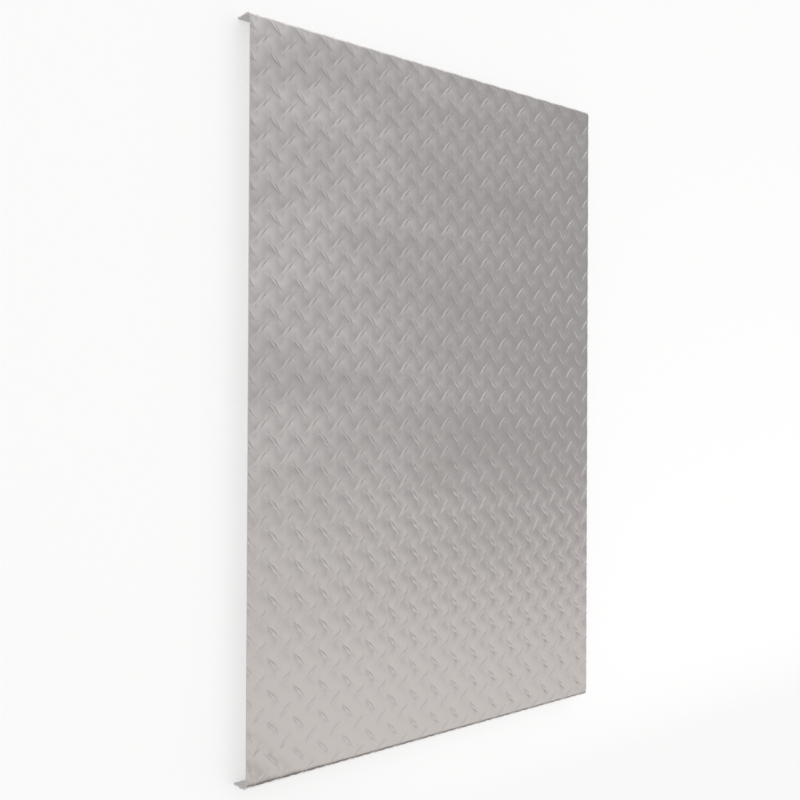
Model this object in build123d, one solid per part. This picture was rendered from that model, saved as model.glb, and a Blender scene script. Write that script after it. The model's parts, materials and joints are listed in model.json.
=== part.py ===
"""Aluminium tread plate with two folded edges: one sheet, rolled with raised lugs, sheared and bent on a brake.

The plate lies face up on its two flanges, as a shallow channel. The origin is on the floor under the plate's
middle, +X runs across the sheet, +Y along it from flange to flange, and +Z is up, out of the tread face.
All sizes are in millimetres.
"""

from build123d import *

import math
import os

# Sheet and folds
plate_width = 609.6  # across, between the two sheared edges
plate_length = 914.4  # along, over the outside of the two flanges
sheet_thickness = 1.6  # of the plain sheet, without its lugs
flange_depth = 28.6  # from the tread face to the sheared edge of a flange
bend_inner_radius = 6.35

# Raised lugs, in rows that lean to the right and to the left by turns
lug_length = 28.0
lug_width = 6.0
lug_height = 1.2
lug_end_run = 5.5  # length of the slope at each end of a lug
lug_lean = 45.0  # degrees from +X
lug_pitch_across = 36.7  # between lugs that lean the same way
lug_pitch_along = 38.0
first_lug_from_left = 17.0  # from the left sheared edge to the first right-leaning lug
first_lug_from_far_flange = 31.0  # from the outside of the far flange to that lug
smallest_cut_lug = 1.0  # a lug that the shear leaves shorter than this is left out

# Values that follow from those
bend_outer_radius = bend_inner_radius + sheet_thickness
half_width = plate_width / 2
half_length = plate_length / 2
half_flat = half_length - bend_outer_radius  # the web is level as far as the bends


def folded_sheet():
    """The plain sheet: web, bends and flanges as one section, drawn along its outside and thickened inwards."""
    with BuildPart() as sheet:
        with BuildSketch(Plane.YZ):
            with BuildLine():
                FilletPolyline(
                    (-half_length, 0),
                    (-half_length, flange_depth),
                    (half_length, flange_depth),
                    (half_length, 0),
                    radius=bend_outer_radius,
                )
                offset(amount=sheet_thickness, side=Side.RIGHT)
            make_face()
        extrude(amount=half_width, both=True)
    return sheet.part


def lug():
    """One lug along +X: a lozenge in plan under a hipped top, with its foot at z = 0 and its root in the sheet."""
    tip = lug_length / 2
    side = lug_width / 2
    crest = tip - lug_end_run
    plan = [(tip, 0), (0, side), (-tip, 0), (0, -side)]
    root = [Vector(x, y, -sheet_thickness / 2) for x, y in plan]
    foot = [Vector(x, y, 0) for x, y in plan]
    right, far, left, near = foot
    crest_right = Vector(crest, 0, lug_height)
    crest_left = Vector(-crest, 0, lug_height)
    walls = [[root[i - 1], root[i], foot[i], foot[i - 1]] for i in range(len(plan))]
    slopes = [
        [right, far, crest_right],
        [far, crest_left, crest_right],
        [far, left, crest_left],
        [left, near, crest_left],
        [near, crest_right, crest_left],
        [near, right, crest_right],
    ]
    outline = [root[::-1], *walls, *slopes]
    return Solid(Shell([Face(Wire.make_polygon(corners)) for corners in outline]))


def stations(first, pitch, low, high):
    """The places from low to high that lie whole pitches from the first one, on either side of it."""
    start = math.ceil((low - first) / pitch)
    stop = math.floor((high - first) / pitch)
    return [first + pitch * step for step in range(start, stop + 1)]


def lug_pattern():
    """The lugs of the level web: each row whole along the sheet, and cut off with it at the sheared edges."""
    lean = math.radians(lug_lean)
    reach_across = lug_length / 2 * math.cos(lean)
    reach_along = lug_length / 2 * math.sin(lean)
    edge_across = half_width + reach_across - smallest_cut_lug
    edge_along = half_flat - reach_along
    blank = Pos(0, 0, flange_depth) * Box(plate_width, plate_length, flange_depth)
    pattern = []
    for turn, shift in ((lug_lean, 0), (-lug_lean, 0.5)):
        first_x = first_lug_from_left - half_width - shift * lug_pitch_across
        first_y = half_length - first_lug_from_far_flange - shift * lug_pitch_along
        for y in stations(first_y, lug_pitch_along, -edge_along, edge_along):
            for x in stations(first_x, lug_pitch_across, -edge_across, edge_across):
                raised = Pos(x, y, flange_depth) * Rot(0, 0, turn) * lug()
                sheared = abs(x) + reach_across > half_width
                pattern.append((raised & blank).solid() if sheared else raised)
    return pattern


tread_plate = folded_sheet().fuse(*lug_pattern())
os.makedirs("parts", exist_ok=True)
export_step(tread_plate, "parts/tread_plate.step", write_pcurves=False)
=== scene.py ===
"""Tread plate: a folded sheet of aluminium tread plate, modelled and finished over its frame.

Laid out as an add-on and run as a script. The sheet is made in the order that a mill and a folder make it: one
pair of raised lugs is modelled and repeated, the sheet is sheared to its size and given its thickness, and its
two ends are folded down. Sizes are in metres.
"""

import json
import math

import bmesh
import bpy
from bpy.props import FloatProperty, FloatVectorProperty, IntProperty, PointerProperty
from bpy.types import Operator, Panel, PropertyGroup
from mathutils import Euler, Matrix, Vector


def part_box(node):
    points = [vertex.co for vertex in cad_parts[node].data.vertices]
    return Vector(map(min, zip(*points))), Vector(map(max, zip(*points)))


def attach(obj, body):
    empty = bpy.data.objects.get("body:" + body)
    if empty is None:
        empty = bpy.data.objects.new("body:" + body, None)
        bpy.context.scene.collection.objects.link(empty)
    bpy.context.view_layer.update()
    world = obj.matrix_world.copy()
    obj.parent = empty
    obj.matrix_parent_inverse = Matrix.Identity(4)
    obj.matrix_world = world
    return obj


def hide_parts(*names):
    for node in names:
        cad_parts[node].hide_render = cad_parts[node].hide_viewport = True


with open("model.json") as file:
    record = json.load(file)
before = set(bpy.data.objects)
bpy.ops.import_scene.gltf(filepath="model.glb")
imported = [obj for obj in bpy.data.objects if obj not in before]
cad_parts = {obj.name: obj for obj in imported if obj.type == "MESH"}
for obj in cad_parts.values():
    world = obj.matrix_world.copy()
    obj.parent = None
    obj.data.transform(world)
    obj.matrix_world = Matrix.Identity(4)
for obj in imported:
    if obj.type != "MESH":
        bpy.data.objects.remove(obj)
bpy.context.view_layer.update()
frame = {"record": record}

bl_info = {
    "name": "Tread Plate",
    "version": (1, 0, 0),
    "blender": (4, 5, 0),
    "location": "3D View > Sidebar > Tread Plate",
    "description": "Models a folded aluminium tread plate and the studio that it is shown in",
    "category": "Add Mesh",
}

NODE = "tread_plate"
LOW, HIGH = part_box(NODE)
MOUNTS = {mount["name"]: Vector(mount["pos_m"]) for mount in frame["record"]["mounts"]}
THICKNESS = HIGH.y - MOUNTS["far_flange_inside"].y
TREAD_LEVEL = MOUNTS["back_face"].z + THICKNESS

ORIGIN = (0, 0, 0)
CLOSE = 1e-6  # two places nearer than this are the same place
RELIEF = "relief"  # attribute: how far up a lug a point lies, from 0 on the sheet to 1 on the crest
SHEET_MAP = "flat_sheet"  # UV map: a point's place on the sheet before it was folded, in metres

# A lug and its square of sheet, with places as shares of half the square's side
GRID_SQUARES = 8  # of the mesh, along each side of the square
LUG_CRESTS = ((0, 1.0), (0.3, 0.84), (0.6, 0.5), (0.84, 0.2))  # places along a lug, and shares of its height
LUG_TAPER = 0.8  # share of its width that a lug would lose on the way to the square's side
SHOULDER_PLACE = 0.55  # share of the way from the crest out to the foot
SHOULDER_RISE = 0.84  # share of the way from the groove up to the crest
BANK_LEVEL = 0.35  # of the groove's outer bank beside the middle of a lug, as a share of the pillow
BANK_RISE = 0.7  # what the bank would gain from there on the way to the square's side
RIM_PLACES = (0, 0.06, 0.2, 0.6)  # along each side of the square, from its middle, where two lugs' tips meet
SADDLE_LEVEL = 0.05  # between the tips, as a share of a lug's height
TIP_GROOVE_LEVEL = -0.2  # beside the tips, as a share of the groove's depth
RIM_GROOVE_LEVEL = -0.4  # farther out, as a share of the same depth
RIM_BANK_LEVEL = 0.7  # beyond the groove, as a share of the pillow

# Angles in degrees
LUG_LEAN = 45
FLANGE_TURN = 90
EDGE_SLOPE = 30  # a face of the flat sheet is a sheared edge if its normal is nearer to level than this
SMOOTH_SLOPE = 30  # faces that meet at less than this are shaded as one

# Lines and stains of the metal
FACE_LINES, BACK_LINES, SHEAR_LINES = 1500.0, 700.0, 2500.0  # to a metre
FACE_PATCHES, BACK_PATCHES = 7.0, 4.5  # to a metre
LINE_STRETCH = (1.0, 0.014, 0.014)  # draws the lines out along the sheet
STAIN_STRETCH = (0.45, 1.4, 1.0)  # draws the stains out across it
STAIN_RANGE = (0.36, 0.68)  # of the clouds, from clean metal to full stain
STREAKED_FROM, STREAKED_ALL = -0.28, -0.1  # along the sheet, where an even film gives way to streaks
EVEN_FILM = 0.45  # stain of the even film
BACK_STAIN = 0.88  # share of the back's colour that is left under a stain
UNEVEN_DEPTH, FACE_LINE_DEPTH, BACK_LINE_DEPTH = 0.0002, 0.00002, 0.00005
FACE_LINE_STRENGTH, BACK_LINE_STRENGTH = 0.08, 0.3

# What stains, lines and polish add to the roughness
STAIN_DULLING = 0.08
FACE_LINE_DULLING, BACK_LINE_DULLING, SHEAR_LINE_DULLING = 0.05, 0.16, 0.2
CREST_POLISH = -0.06
BACK_DULLING = 0.14
SHEAR_ROUGHNESS = 0.28

# Light from the room, as places and strengths: the ceiling's from near to far, the walls' from overhead outwards
WHITE = (1, 1, 1)
WARM_WHITE = (1.0, 0.982, 0.965)
CEILING = ((0.0, 0.82), (0.03, 0.66), (0.08, 0.41), (0.2, 0.42), (0.45, 0.48), (0.55, 0.56), (0.8, 0.62))
RIGHT_WALL = ((0.2, 0.82), (0.35, 0.71), (0.5, 0.59), (0.67, 0.445), (0.78, 0.36), (0.85, 0.37), (0.93, 0.52),
              (1.0, 0.9))
NEAR_WALL = ((0.5, 0.57), (0.67, 0.57), (0.78, 0.53), (0.85, 0.53), (0.93, 0.66), (1.0, 0.95))
NEAR_DIMMING = ((0.14, 0.36), (0.25, 1.0))  # of the near wall, from near to far
NEAR_TO_RIGHT = (-0.3, -0.04)  # along, where the near wall gives way to the right one
CEILING_TO_WALLS = (0.0, 0.25)  # across, where the ceiling gives way to the walls

# Floor and lamps, each lamp with its place, its width and its height
FLOOR_SIZE = 40
FLANK_SOFTBOX = (0.2, 2.2, 2.2), 1.3, 2.4
LOW_CARD = (1.95, -0.58, 0.56), 4.1, 0.88
HIGH_CARD = (1.95, -0.58, 1.5), 4.1, 1.0


def size(name, description, default):
    """A length that a user can set."""
    return FloatProperty(name=name, description=description, default=default, min=0, precision=5, unit="LENGTH")


def colour(name, description, default):
    """A colour that a user can set."""
    return FloatVectorProperty(name=name, description=description, default=default, min=0, max=1,
                               subtype="COLOR")


def share(name, description, default):
    """A share from 0 to 1 that a user can set."""
    return FloatProperty(name=name, description=description, default=default, min=0, max=1, subtype="FACTOR")


def level(name, description, default):
    """A strength of light that a user can set."""
    return FloatProperty(name=name, description=description, default=default, min=0)


def angle(name, description, default):
    """An angle that a user can set, given here in degrees."""
    return FloatProperty(name=name, description=description, default=math.radians(default), unit="ROTATION")


class SheetSizes(PropertyGroup):
    """Sizes of the sheared and folded sheet"""

    width: size("Width", "Across the sheet, between its two sheared edges", HIGH.x - LOW.x)
    length: size("Length", "Along the sheet, over the outside of its two flanges", HIGH.y - LOW.y)
    thickness: size("Thickness", "Of the plain sheet, without its lugs", THICKNESS)
    depth: size("Depth", "From the tread face down to the sheared edges of the flanges", TREAD_LEVEL)
    bend_radius: size("Bend radius", "Outside radius of the two bends", 0.00795)
    bend_strips: IntProperty(name="Bend strips", description="Folds that make up each bend", default=6, min=1)


class LugSizes(PropertyGroup):
    """Sizes of the raised lugs and of the lattice that they stand on"""

    height: size("Height", "From the sheet to the crest of a lug", HIGH.z - TREAD_LEVEL)
    width: size("Width", "Across the foot of a lug, at its middle", 0.006)
    pitch_across: size("Pitch across", "Across the sheet, between lugs that lean the same way", 0.0367)
    pitch_along: size("Pitch along", "Along the sheet, between lugs that lean the same way", 0.038)
    first_across: size("First across", "From the left sheared edge to the first right-leaning lug", 0.017)
    first_along: size("First along", "From the outside of the far flange to that lug", 0.031)
    groove_depth: size("Groove depth", "Of the shallow groove that rolling leaves round a lug's foot", 0.0002)
    groove_width: size("Groove width", "From a lug's foot to the outer side of its groove", 0.006)
    pillow: size("Pillow", "How far the sheet rises outside the grooves", 0.00046)
    swell: size("Swell", "How far it rises beyond that, midway between the lugs", 0.0001)


class PlateFinish(PropertyGroup):
    """Colours and sheen of the metal"""

    metal: colour("Metal", "Clean rolled aluminium", (0.82, 0.781, 0.77))
    stain: colour("Stain", "Aluminium under the cloudy stains of the mill's oil", (0.708, 0.673, 0.663))
    # Partly the duller metal of a plain back and partly painted shade: this colour is darkened to stand in for
    # the shade on the inner faces of the flanges.
    back: colour("Back", "Dull metal of the plain back", (0.6, 0.58, 0.57))
    # Partly the torn, matt metal of the sheared edges and partly painted shade: this colour is darker than torn
    # metal, to stand in for shade on the edges.
    shear: colour("Shear", "Torn, matt metal of the sheared edges", (0.45, 0.44, 0.435))
    sheen: share("Roughness", "Roughness of the clean tread face", 0.2)


class StudioSettings(PropertyGroup):
    """Floor, light and camera"""

    floor: colour("Floor", "Pale paper floor", (0.88, 0.88, 0.88))
    floor_glow: level("Floor glow", "Light that the floor adds to what the camera and the metal see", 0.48)
    room_light: level("Room light", "Strength of the light from the room's walls and ceiling", 1.0)
    flank_light: level("Flank light", "Brightness of the softbox over the far side, where 1 is white", 0.05)
    card_light: level("Card light", "Brightness of the white cards beside the near flange", 0.18)
    camera_place: FloatVectorProperty(name="Camera", description="Where the camera stands", subtype="XYZ",
                                      unit="LENGTH", default=(-0.8945, -0.0044, 1.0246))
    camera_yaw: angle("Yaw", "Turn of the camera from straight down towards the right", -39.447)
    camera_pitch: angle("Pitch", "Turn of the camera from straight down towards the far flange", 0.277)
    camera_roll: angle("Roll", "Turn of the camera about its line of sight", 0.265)
    focal_length: FloatProperty(name="Focal length", description="On a sensor 36 mm wide", default=43.97,
                                unit="CAMERA")


def deselect_everything():
    """Leaves object mode on, with nothing selected."""
    if bpy.context.object and bpy.context.object.mode != "OBJECT":
        bpy.ops.object.mode_set(mode="OBJECT")
    bpy.ops.object.select_all(action="DESELECT")


def select_points(test):
    """Selects the points of the mesh being edited whose place passes the test, and only those."""
    mesh = bpy.context.edit_object.data
    shape = bmesh.from_edit_mesh(mesh)
    for point in shape.verts:
        point.select = test(point.co)
    shape.select_flush_mode()
    bmesh.update_edit_mesh(mesh)


def same(first, second):
    """Whether two measures are the same."""
    return abs(first - second) < CLOSE


def turn(degrees, axis, centre):
    """Turns what is selected anticlockwise about an axis. With no window the operator counts clockwise."""
    bpy.ops.transform.rotate(value=-math.radians(degrees), orient_axis=axis, center_override=centre)


def model_lug(lugs):
    """One lug that lies along X in the middle of its square of sheet: a low lozenge in a shallow groove."""
    half_side = math.hypot(lugs.pitch_across, lugs.pitch_along) / 4
    even = 2 * half_side / GRID_SQUARES
    deselect_everything()
    bpy.ops.mesh.primitive_grid_add(x_subdivisions=GRID_SQUARES, y_subdivisions=GRID_SQUARES,
                                    size=2 * half_side)
    bpy.ops.object.mode_set(mode="EDIT")
    bpy.ops.mesh.select_mode(type="VERT")
    bpy.ops.transform.translate(value=(0, 0, lugs.pillow))
    rim_levels = (SADDLE_LEVEL * lugs.height, TIP_GROOVE_LEVEL * lugs.groove_depth,
                  RIM_GROOVE_LEVEL * lugs.groove_depth, RIM_BANK_LEVEL * lugs.pillow)
    for row, (place, rise) in enumerate(zip(RIM_PLACES, rim_levels)):
        select_points(lambda point: same(abs(point.y), half_side) and same(abs(point.x), row * even))
        bpy.ops.transform.translate(value=(0, 0, rise - lugs.pillow))
        if row:
            bpy.ops.transform.resize(value=(place * half_side / (row * even), 1, 1), center_override=ORIGIN)
        select_points(lambda point: same(abs(point.x), half_side) and same(abs(point.y), row * even))
        bpy.ops.transform.translate(value=(0, 0, rise - lugs.pillow))
        if row:
            bpy.ops.transform.resize(value=(1, place * half_side / (row * even), 1), center_override=ORIGIN)
    for column, (along, crest) in enumerate(LUG_CRESTS):
        taper = 1 - along * LUG_TAPER
        foot = lugs.width / 2 * taper
        low = -lugs.groove_depth
        high = lugs.height * crest
        shoulder = low + (high - low) * SHOULDER_RISE
        bank = lugs.pillow * (BANK_LEVEL + BANK_RISE * along)
        places = (0, foot * SHOULDER_PLACE, foot, foot + lugs.groove_width)
        levels = (high, shoulder, low, bank)
        for row, (place, rise) in enumerate(zip(places, levels)):
            select_points(lambda point: same(abs(point.x), column * even) and same(abs(point.y), row * even))
            if row:
                bpy.ops.transform.resize(value=(1, place / (row * even), 1), center_override=ORIGIN)
            bpy.ops.transform.translate(value=(0, 0, rise - lugs.pillow))
        if column:
            select_points(lambda point: same(abs(point.x), column * even) and abs(point.y) < half_side - CLOSE)
            bpy.ops.transform.resize(value=(along * half_side / (column * even), 1, 1), center_override=ORIGIN)
    store_relief(lugs)
    select_points(lambda point: same(abs(point.x), half_side) and same(abs(point.y), half_side))
    bpy.ops.transform.translate(value=(0, 0, lugs.swell), use_proportional_edit=True,
                                proportional_edit_falloff="SMOOTH", proportional_size=half_side)
    return half_side


def store_relief(lugs):
    """Keeps each point's height on its lug, for the finish to read after the sheet is folded."""
    bpy.ops.object.mode_set(mode="OBJECT")
    mesh = bpy.context.object.data
    relief = mesh.attributes.new(RELIEF, "FLOAT", "POINT")
    heights = [max(point.co.z - lugs.pillow, 0) / lugs.height for point in mesh.vertices]
    relief.data.foreach_set("value", heights)
    bpy.ops.object.mode_set(mode="EDIT")


def lean_lug(lugs, half_side):
    """Turns the lug to lean to the right and fits its square of sheet to the lattice as a lozenge."""
    diagonal = 2 * half_side * math.sqrt(2)
    bpy.ops.mesh.select_all(action="SELECT")
    turn(LUG_LEAN, "Z", ORIGIN)
    bpy.ops.transform.resize(value=(lugs.pitch_across / diagonal, lugs.pitch_along / diagonal, 1),
                             center_override=ORIGIN)
    bpy.ops.object.mode_set(mode="OBJECT")


def pair_lugs(lugs):
    """Adds the left-leaning lug, half a pitch away both ways, and makes the pair one mesh."""
    right_leaning = bpy.context.object
    bpy.ops.object.duplicate()
    bpy.ops.object.mode_set(mode="EDIT")
    bpy.ops.mesh.select_all(action="SELECT")
    bpy.ops.transform.resize(value=(-1, 1, 1), center_override=ORIGIN)
    bpy.ops.mesh.flip_normals()
    bpy.ops.transform.translate(value=(lugs.pitch_across / 2, lugs.pitch_along / 2, 0))
    bpy.ops.object.mode_set(mode="OBJECT")
    right_leaning.select_set(True)
    bpy.ops.object.join()
    return bpy.context.object


def repeat(plate, count, step):
    """Repeats the mesh in a row."""
    bpy.ops.object.modifier_add(type="ARRAY")
    row = plate.modifiers[-1]
    row.count = count
    row.use_relative_offset = False
    row.use_constant_offset = True
    row.constant_offset_displace = step
    bpy.ops.object.modifier_apply(modifier=row.name)


def fold_angle(sheet):
    """Degrees that each fold of a bend turns."""
    return FLANGE_TURN / sheet.bend_strips


def strip_width(sheet):
    """Width of the flat strips of a bend, which touch its outside radius at their middles."""
    return 2 * sheet.bend_radius * math.tan(math.radians(fold_angle(sheet) / 2))


def flat_half_length(sheet):
    """Half the length of the sheet before it is folded."""
    level_part = sheet.length / 2 - sheet.bend_radius
    bend = sheet.bend_strips * strip_width(sheet)
    return level_part + bend + sheet.depth - sheet.bend_radius


def roll_pattern(plate, sheet, lugs):
    """Repeats the pair of lugs over more than the whole sheet, from its near left corner."""
    spare = 2
    before = math.ceil(lugs.first_across / lugs.pitch_across) + spare
    start_x = lugs.first_across - sheet.width / 2 - before * lugs.pitch_across
    first_y = sheet.length / 2 - lugs.first_along
    below = math.ceil((first_y + flat_half_length(sheet)) / lugs.pitch_along) + spare
    start_y = first_y - below * lugs.pitch_along
    columns = math.ceil((sheet.width / 2 - start_x) / lugs.pitch_across) + spare
    rows = math.ceil((flat_half_length(sheet) - start_y) / lugs.pitch_along) + spare
    repeat(plate, columns, (lugs.pitch_across, 0, 0))
    repeat(plate, rows, (0, lugs.pitch_along, 0))
    bpy.ops.object.mode_set(mode="EDIT")
    bpy.ops.mesh.select_all(action="SELECT")
    bpy.ops.mesh.remove_doubles(threshold=10 * CLOSE)
    bpy.ops.transform.translate(value=(start_x, start_y, sheet.depth))


def cut(place, facing, **options):
    """Cuts the whole mesh along a plane."""
    bpy.ops.mesh.select_all(action="SELECT")
    bpy.ops.mesh.bisect(plane_co=place, plane_no=facing, threshold=CLOSE, **options)


def shear_sheet(sheet):
    """Cuts the sheet to size, then gives it its thickness and its plain back."""
    for side in (-1, 1):
        cut((side * sheet.width / 2, 0, 0), (side, 0, 0), clear_outer=True)
        cut((0, side * flat_half_length(sheet), 0), (0, side, 0), clear_outer=True)
    bpy.ops.mesh.select_mode(type="EDGE")
    bpy.ops.mesh.select_all(action="DESELECT")
    bpy.ops.mesh.select_non_manifold(extend=False, use_wire=False, use_boundary=True, use_multi_face=False,
                                     use_non_contiguous=False, use_verts=False)
    bpy.ops.mesh.extrude_edges_move(TRANSFORM_OT_translate={"value": (0, 0, -sheet.thickness)})
    back = sheet.depth - sheet.thickness
    bpy.ops.transform.resize(value=(1, 1, 0), center_override=(0, 0, back))
    bpy.ops.mesh.edge_face_add()
    bpy.ops.mesh.select_all(action="SELECT")
    bpy.ops.mesh.normals_make_consistent(inside=False)
    bpy.ops.mesh.select_mode(type="VERT")


def map_sheet(plate):
    """Maps the flat sheet and gives its tread face, back and sheared edges their materials."""
    bpy.ops.object.mode_set(mode="OBJECT")
    mesh = plate.data
    chart = mesh.uv_layers.new(name=SHEET_MAP)
    places = [mesh.vertices[corner.vertex_index].co for corner in mesh.loops]
    chart.data.foreach_set("uv", [measure for place in places for measure in place.xy])
    tread, back, edge = range(3)
    upright = math.sin(math.radians(EDGE_SLOPE))
    for face in mesh.polygons:
        if abs(face.normal.z) < upright:
            face.material_index = edge
        else:
            face.material_index = tread if face.normal.z > 0 else back
    bpy.ops.object.mode_set(mode="EDIT")


def fold_end(sheet, side):
    """Folds one end of the sheet down, a strip at a time from the outside in, with a mitre on each fold."""
    step = fold_angle(sheet)
    slack = 2 * CLOSE
    first_fold = sheet.length / 2 - sheet.bend_radius + strip_width(sheet) / 2
    folds = [first_fold + strip * strip_width(sheet) for strip in range(sheet.bend_strips)]
    for fold in folds:
        cut((0, side * fold, 0), (0, 1, 0))
    for fold in reversed(folds):
        centre = (0, side * fold, sheet.depth)
        select_points(lambda point: side * point.y > fold + slack)
        turn(-side * step, "X", centre)
        select_points(lambda point: abs(side * point.y - fold) <= slack)
        turn(-side * step / 2, "X", centre)


def add_node(tree, kind, inputs=None, **settings):
    """Adds a node with its settings, and the plain values of its inputs."""
    node = tree.nodes.new(kind)
    for name, value in settings.items():
        setattr(node, name, value)
    for name, value in (inputs or {}).items():
        node.inputs[name].default_value = value
    return node


def new_group(name, inputs, outputs):
    """An empty group of nodes with named sockets, given as name and kind, and its two ends."""
    tree = bpy.data.node_groups.new(name, "ShaderNodeTree")
    for label, kind in inputs:
        tree.interface.new_socket(label, in_out="INPUT", socket_type=f"NodeSocket{kind}")
    for label, kind in outputs:
        tree.interface.new_socket(label, in_out="OUTPUT", socket_type=f"NodeSocket{kind}")
    return tree, add_node(tree, "NodeGroupInput"), add_node(tree, "NodeGroupOutput")


def fade(tree, start, end):
    """A smooth step from 0, where a value is at its start, to 1 at its end."""
    return add_node(tree, "ShaderNodeMapRange", {"From Min": start, "From Max": end},
                    interpolation_type="SMOOTHSTEP")


def rolling_grain():
    """Fine lines that the rolls leave along the sheet: a mask from 0 to 1."""
    tree, given, result = new_group("Rolling grain", [("Place", "Vector"), ("Lines", "Float")],
                                    [("Grain", "Float")])
    link = tree.links.new
    stretch = add_node(tree, "ShaderNodeVectorMath", {1: LINE_STRETCH}, operation="MULTIPLY")
    lines = add_node(tree, "ShaderNodeTexNoise", {"Detail": 3.0, "Roughness": 0.6})
    link(given.outputs["Place"], stretch.inputs[0])
    link(stretch.outputs["Vector"], lines.inputs["Vector"])
    link(given.outputs["Lines"], lines.inputs["Scale"])
    link(lines.outputs["Fac"], result.inputs["Grain"])
    return tree


def mill_stains():
    """Dried oil, in cloudy streaks across the sheet and an even film at its near end: a mask from 0 to 1."""
    tree, given, result = new_group("Mill stains", [("Place", "Vector"), ("Patches", "Float")],
                                    [("Stain", "Float")])
    link = tree.links.new
    stretch = add_node(tree, "ShaderNodeVectorMath", {1: STAIN_STRETCH}, operation="MULTIPLY")
    clouds = add_node(tree, "ShaderNodeTexNoise", {"Detail": 5.0, "Roughness": 0.55, "Distortion": 0.4})
    streaks = fade(tree, *STAIN_RANGE)
    parts = add_node(tree, "ShaderNodeSeparateXYZ")
    streaked = fade(tree, STREAKED_FROM, STREAKED_ALL)
    stain = add_node(tree, "ShaderNodeMix", {"A": EVEN_FILM})
    link(given.outputs["Place"], stretch.inputs[0])
    link(stretch.outputs["Vector"], clouds.inputs["Vector"])
    link(given.outputs["Patches"], clouds.inputs["Scale"])
    link(clouds.outputs["Fac"], streaks.inputs["Value"])
    link(given.outputs["Place"], parts.inputs["Vector"])
    link(parts.outputs["Y"], streaked.inputs["Value"])
    link(streaked.outputs["Result"], stain.inputs["Factor"])
    link(streaks.outputs["Result"], stain.inputs["B"])
    link(stain.outputs["Result"], result.inputs["Stain"])
    return tree


def new_metal(name):
    """A metal with its shader, and the tree to finish it in."""
    material = bpy.data.materials.new(name)
    material.use_nodes = True
    tree = material.node_tree
    shader = tree.nodes["Principled BSDF"]
    shader.inputs["Metallic"].default_value = 1.0
    return material, tree, shader


def sheet_masks(tree, grain, line_count, stains, patch_count):
    """Masks of the rolling lines and of the stains on the flat sheet, with their counts to a metre."""
    place = add_node(tree, "ShaderNodeUVMap", uv_map=SHEET_MAP)
    lines = add_node(tree, "ShaderNodeGroup", {"Lines": line_count}, node_tree=grain)
    clouds = add_node(tree, "ShaderNodeGroup", {"Patches": patch_count}, node_tree=stains)
    for mask in (lines, clouds):
        tree.links.new(place.outputs["UV"], mask.inputs["Place"])
    return lines.outputs["Grain"], clouds.outputs["Stain"]


def mix_tint(tree, shader, mask, clean, covered):
    """Colours the metal from its clean colour to its covered one, as a mask goes from 0 to 1."""
    tint = add_node(tree, "ShaderNodeMix", {"A": (*clean, 1), "B": (*covered, 1)}, data_type="RGBA")
    tree.links.new(mask, tint.inputs["Factor"])
    tree.links.new(tint.outputs["Result"], shader.inputs["Base Color"])


def tread_face(finish, grain, stains):
    """Rolled face: satin metal with rolling lines, stains and lug crests that wear has polished."""
    material, tree, shader = new_metal("rolled_tread_face")
    link = tree.links.new
    lines, clouds = sheet_masks(tree, grain, FACE_LINES, stains, FACE_PATCHES)
    crest = add_node(tree, "ShaderNodeAttribute", attribute_name=RELIEF)
    mix_tint(tree, shader, clouds, finish.metal, finish.stain)

    dulled = add_node(tree, "ShaderNodeMath", {1: STAIN_DULLING, 2: finish.sheen}, operation="MULTIPLY_ADD")
    link(clouds, dulled.inputs[0])
    lined = add_node(tree, "ShaderNodeMath", {1: FACE_LINE_DULLING}, operation="MULTIPLY_ADD")
    link(lines, lined.inputs[0])
    link(dulled.outputs["Value"], lined.inputs[2])
    polished = add_node(tree, "ShaderNodeMath", {1: CREST_POLISH}, operation="MULTIPLY_ADD")
    link(crest.outputs["Fac"], polished.inputs[0])
    link(lined.outputs["Value"], polished.inputs[2])
    link(polished.outputs["Value"], shader.inputs["Roughness"])

    uneven = add_node(tree, "ShaderNodeBump", {"Strength": 1.0, "Distance": UNEVEN_DEPTH})
    link(clouds, uneven.inputs["Height"])
    bump = add_node(tree, "ShaderNodeBump", {"Strength": FACE_LINE_STRENGTH, "Distance": FACE_LINE_DEPTH})
    link(uneven.outputs["Normal"], bump.inputs["Normal"])
    link(lines, bump.inputs["Height"])
    link(bump.outputs["Normal"], shader.inputs["Normal"])
    return material


def plain_back(finish, grain, stains):
    """Plain back of the sheet: duller, with broader rolling lines and larger stains than the tread face, and its
    colour darkened in part as painted shade.
    """
    material, tree, shader = new_metal("plain_sheet_back")
    link = tree.links.new
    lines, clouds = sheet_masks(tree, grain, BACK_LINES, stains, BACK_PATCHES)
    # Painted shade in part: the back's colour is darker than the metal of the tread face.
    mix_tint(tree, shader, clouds, finish.back, [BACK_STAIN * part for part in finish.back])
    lined = add_node(tree, "ShaderNodeMath", {1: BACK_LINE_DULLING, 2: finish.sheen + BACK_DULLING},
                     operation="MULTIPLY_ADD")
    link(lines, lined.inputs[0])
    link(lined.outputs["Value"], shader.inputs["Roughness"])
    bump = add_node(tree, "ShaderNodeBump", {"Strength": BACK_LINE_STRENGTH, "Distance": BACK_LINE_DEPTH})
    link(lines, bump.inputs["Height"])
    link(bump.outputs["Normal"], shader.inputs["Normal"])
    return material


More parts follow.
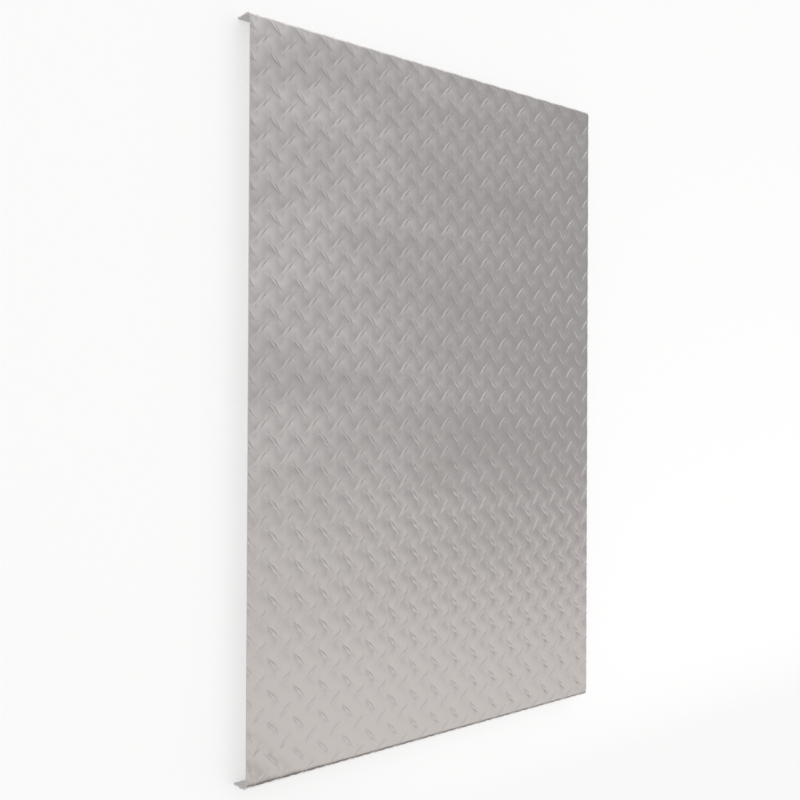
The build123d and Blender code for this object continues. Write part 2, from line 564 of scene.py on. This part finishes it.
def sheared_edge(finish, grain):
    """Sheared edge: torn, matt metal with the short lines of the blade, its colour darkened as painted shade."""
    material, tree, shader = new_metal("sheared_edge")
    link = tree.links.new
    place = add_node(tree, "ShaderNodeTexCoord")
    across = add_node(tree, "ShaderNodeMapping", {"Rotation": (math.radians(90), 0, 0)})
    lines = add_node(tree, "ShaderNodeGroup", {"Lines": SHEAR_LINES}, node_tree=grain)
    link(place.outputs["Object"], across.inputs["Vector"])
    link(across.outputs["Vector"], lines.inputs["Place"])
    # Painted shade: the edge's colour runs between the darkened shear colour and the back's, which is darkened
    # in part too.
    mix_tint(tree, shader, lines.outputs["Grain"], finish.shear, finish.back)
    lined = add_node(tree, "ShaderNodeMath", {1: SHEAR_LINE_DULLING, 2: SHEAR_ROUGHNESS},
                     operation="MULTIPLY_ADD")
    link(lines.outputs["Grain"], lined.inputs[0])
    link(lined.outputs["Value"], shader.inputs["Roughness"])
    return material


class TREAD_OT_plate(Operator):
    """Model the folded tread plate and give it its finish"""

    bl_idname = "tread.plate"
    bl_label = "Tread plate"

    def execute(self, context):
        sheet = context.scene.tread_sheet
        lugs = context.scene.tread_lugs
        finish = context.scene.tread_finish
        lean_lug(lugs, model_lug(lugs))
        plate = pair_lugs(lugs)
        plate.name = plate.data.name = "rolled_tread_plate"
        roll_pattern(plate, sheet, lugs)
        shear_sheet(sheet)
        grain = rolling_grain()
        stains = mill_stains()
        for material in (tread_face(finish, grain, stains), plain_back(finish, grain, stains),
                         sheared_edge(finish, grain)):
            plate.data.materials.append(material)
        map_sheet(plate)
        for side in (-1, 1):
            fold_end(sheet, side)
        bpy.ops.object.mode_set(mode="OBJECT")
        bpy.ops.object.shade_smooth_by_angle(angle=math.radians(SMOOTH_SLOPE))
        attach(plate, "root")
        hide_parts(NODE)
        return {"FINISHED"}


def pale_floor(studio):
    """Paper floor: it takes the plate's shadow, and glows a little to the camera and in the metal."""
    material = bpy.data.materials.new("pale_paper_floor")
    material.use_nodes = True
    tree = material.node_tree
    tree.nodes.clear()
    link = tree.links.new
    paper = add_node(tree, "ShaderNodeBsdfDiffuse", {"Color": (*studio.floor, 1)})
    glow = add_node(tree, "ShaderNodeEmission", {"Color": (*WHITE, 1)})
    path = add_node(tree, "ShaderNodeLightPath")
    seen = add_node(tree, "ShaderNodeMath", operation="MAXIMUM")
    seen_too = add_node(tree, "ShaderNodeMath", operation="MAXIMUM")
    amount = add_node(tree, "ShaderNodeMath", {1: studio.floor_glow}, operation="MULTIPLY")
    both = add_node(tree, "ShaderNodeAddShader")
    result = add_node(tree, "ShaderNodeOutputMaterial")
    link(path.outputs["Is Camera Ray"], seen.inputs[0])
    link(path.outputs["Is Glossy Ray"], seen.inputs[1])
    link(seen.outputs["Value"], seen_too.inputs[0])
    link(path.outputs["Is Transmission Ray"], seen_too.inputs[1])
    link(seen_too.outputs["Value"], amount.inputs[0])
    link(amount.outputs["Value"], glow.inputs["Strength"])
    link(paper.outputs["BSDF"], both.inputs[0])
    link(glow.outputs["Emission"], both.inputs[1])
    link(both.outputs["Shader"], result.inputs["Surface"])
    return material


def light_ramp(tree, tint, stops):
    """A ramp of one light's strength, given as place and strength."""
    ramp = add_node(tree, "ShaderNodeValToRGB")
    elements = ramp.color_ramp.elements
    elements[0].position, elements[1].position = stops[0][0], stops[-1][0]
    for place, _ in stops[1:-1]:
        elements.new(place)
    for element, (_, strength) in zip(elements, stops):
        element.color = (*(strength * part for part in tint), 1)
    return ramp


def soft_room(studio):
    """Room light: a grey ceiling, paler to the far side, a dim right wall and a warm, paler near wall."""
    world = bpy.data.worlds.new("soft_room")
    world.use_nodes = True
    tree = world.node_tree
    link = tree.links.new
    direction = add_node(tree, "ShaderNodeTexCoord")
    parts = add_node(tree, "ShaderNodeSeparateXYZ")
    link(direction.outputs["Generated"], parts.inputs["Vector"])
    along = add_node(tree, "ShaderNodeMapRange", {"From Min": -1.0, "From Max": 1.0})
    link(parts.outputs["Y"], along.inputs["Value"])

    ceiling = light_ramp(tree, WHITE, CEILING)
    link(along.outputs["Result"], ceiling.inputs["Fac"])
    right_wall = light_ramp(tree, WHITE, RIGHT_WALL)
    link(parts.outputs["X"], right_wall.inputs["Fac"])
    near_light = light_ramp(tree, WARM_WHITE, NEAR_WALL)
    link(parts.outputs["X"], near_light.inputs["Fac"])
    dimming = light_ramp(tree, WARM_WHITE, NEAR_DIMMING)
    link(along.outputs["Result"], dimming.inputs["Fac"])
    near_wall = add_node(tree, "ShaderNodeMix", {"Factor": 1.0}, data_type="RGBA", blend_type="MULTIPLY")
    link(near_light.outputs["Color"], near_wall.inputs["A"])
    link(dimming.outputs["Color"], near_wall.inputs["B"])

    is_right = fade(tree, *NEAR_TO_RIGHT)
    link(parts.outputs["Y"], is_right.inputs["Value"])
    walls = add_node(tree, "ShaderNodeMix", data_type="RGBA")
    link(is_right.outputs["Result"], walls.inputs["Factor"])
    link(near_wall.outputs["Result"], walls.inputs["A"])
    link(right_wall.outputs["Color"], walls.inputs["B"])
    is_wall = fade(tree, *CEILING_TO_WALLS)
    link(parts.outputs["X"], is_wall.inputs["Value"])
    room = add_node(tree, "ShaderNodeMix", data_type="RGBA")
    link(is_wall.outputs["Result"], room.inputs["Factor"])
    link(ceiling.outputs["Color"], room.inputs["A"])
    link(walls.outputs["Result"], room.inputs["B"])
    background = tree.nodes["Background"]
    background.inputs["Strength"].default_value = studio.room_light
    link(room.outputs["Result"], background.inputs["Color"])
    return world


def softbox(name, place, width, height, aim, brightness):
    """A soft rectangular lamp that faces a point. It looks white in the metal at a brightness of 1."""
    bpy.ops.object.light_add(type="AREA", location=place)
    lamp = bpy.context.object
    lamp.name = name
    lamp.rotation_euler = (Vector(aim) - Vector(place)).to_track_quat("-Z", "Y").to_euler()
    lamp.data.shape = "RECTANGLE"
    lamp.data.size = width
    lamp.data.size_y = height
    lamp.data.energy = math.pi * width * height * brightness
    lamp.visible_camera = False


def white_card(name, place, width, height, brightness):
    """An upright white card beyond the near flange, which faces straight along the sheet."""
    across, _, above = place
    softbox(name, place, width, height, (across, 0, above), brightness)


class TREAD_OT_studio(Operator):
    """Add the pale floor, the soft light and the camera"""

    bl_idname = "tread.studio"
    bl_label = "Studio"

    def execute(self, context):
        studio = context.scene.tread_studio
        deselect_everything()
        bpy.ops.mesh.primitive_plane_add(size=FLOOR_SIZE)
        floor = bpy.context.object
        floor.name = "pale_floor"
        floor.data.materials.append(pale_floor(studio))
        context.scene.world = soft_room(studio)
        softbox("flank_softbox", *FLANK_SOFTBOX, (0, 0, TREAD_LEVEL), studio.flank_light)
        white_card("low_card", *LOW_CARD, studio.card_light)
        white_card("high_card", *HIGH_CARD, studio.card_light / 2)
        bpy.ops.object.camera_add(location=studio.camera_place)
        camera = bpy.context.object
        looking = Euler((studio.camera_pitch, studio.camera_yaw, studio.camera_roll), "ZXY")
        camera.rotation_euler = looking.to_matrix().to_euler()
        camera.data.lens = studio.focal_length
        context.scene.camera = camera
        context.scene.view_settings.view_transform = "Standard"
        return {"FINISHED"}


class TREAD_PT_sidebar(Panel):
    """Sidebar with the plate's sizes, its finish and the studio"""

    bl_idname = "TREAD_PT_sidebar"
    bl_label = "Tread Plate"
    bl_space_type = "VIEW_3D"
    bl_region_type = "UI"
    bl_category = "Tread Plate"

    def draw(self, context):
        for operator, groups in ((TREAD_OT_plate, ("tread_sheet", "tread_lugs", "tread_finish")),
                                 (TREAD_OT_studio, ("tread_studio",))):
            for group in groups:
                settings = getattr(context.scene, group)
                for name in settings.__annotations__:
                    self.layout.prop(settings, name)
            self.layout.operator(operator.bl_idname)


GROUPS = {
    "tread_sheet": SheetSizes,
    "tread_lugs": LugSizes,
    "tread_finish": PlateFinish,
    "tread_studio": StudioSettings,
}
CLASSES = (*GROUPS.values(), TREAD_OT_plate, TREAD_OT_studio, TREAD_PT_sidebar)


def register():
    for made in CLASSES:
        bpy.utils.register_class(made)
    for name, group in GROUPS.items():
        setattr(bpy.types.Scene, name, PointerProperty(type=group))


def unregister():
    for name in GROUPS:
        delattr(bpy.types.Scene, name)
    for made in reversed(CLASSES):
        bpy.utils.unregister_class(made)


def main():
    register()
    bpy.ops.tread.plate()
    bpy.ops.tread.studio()


if __name__ == "__main__":
    main()
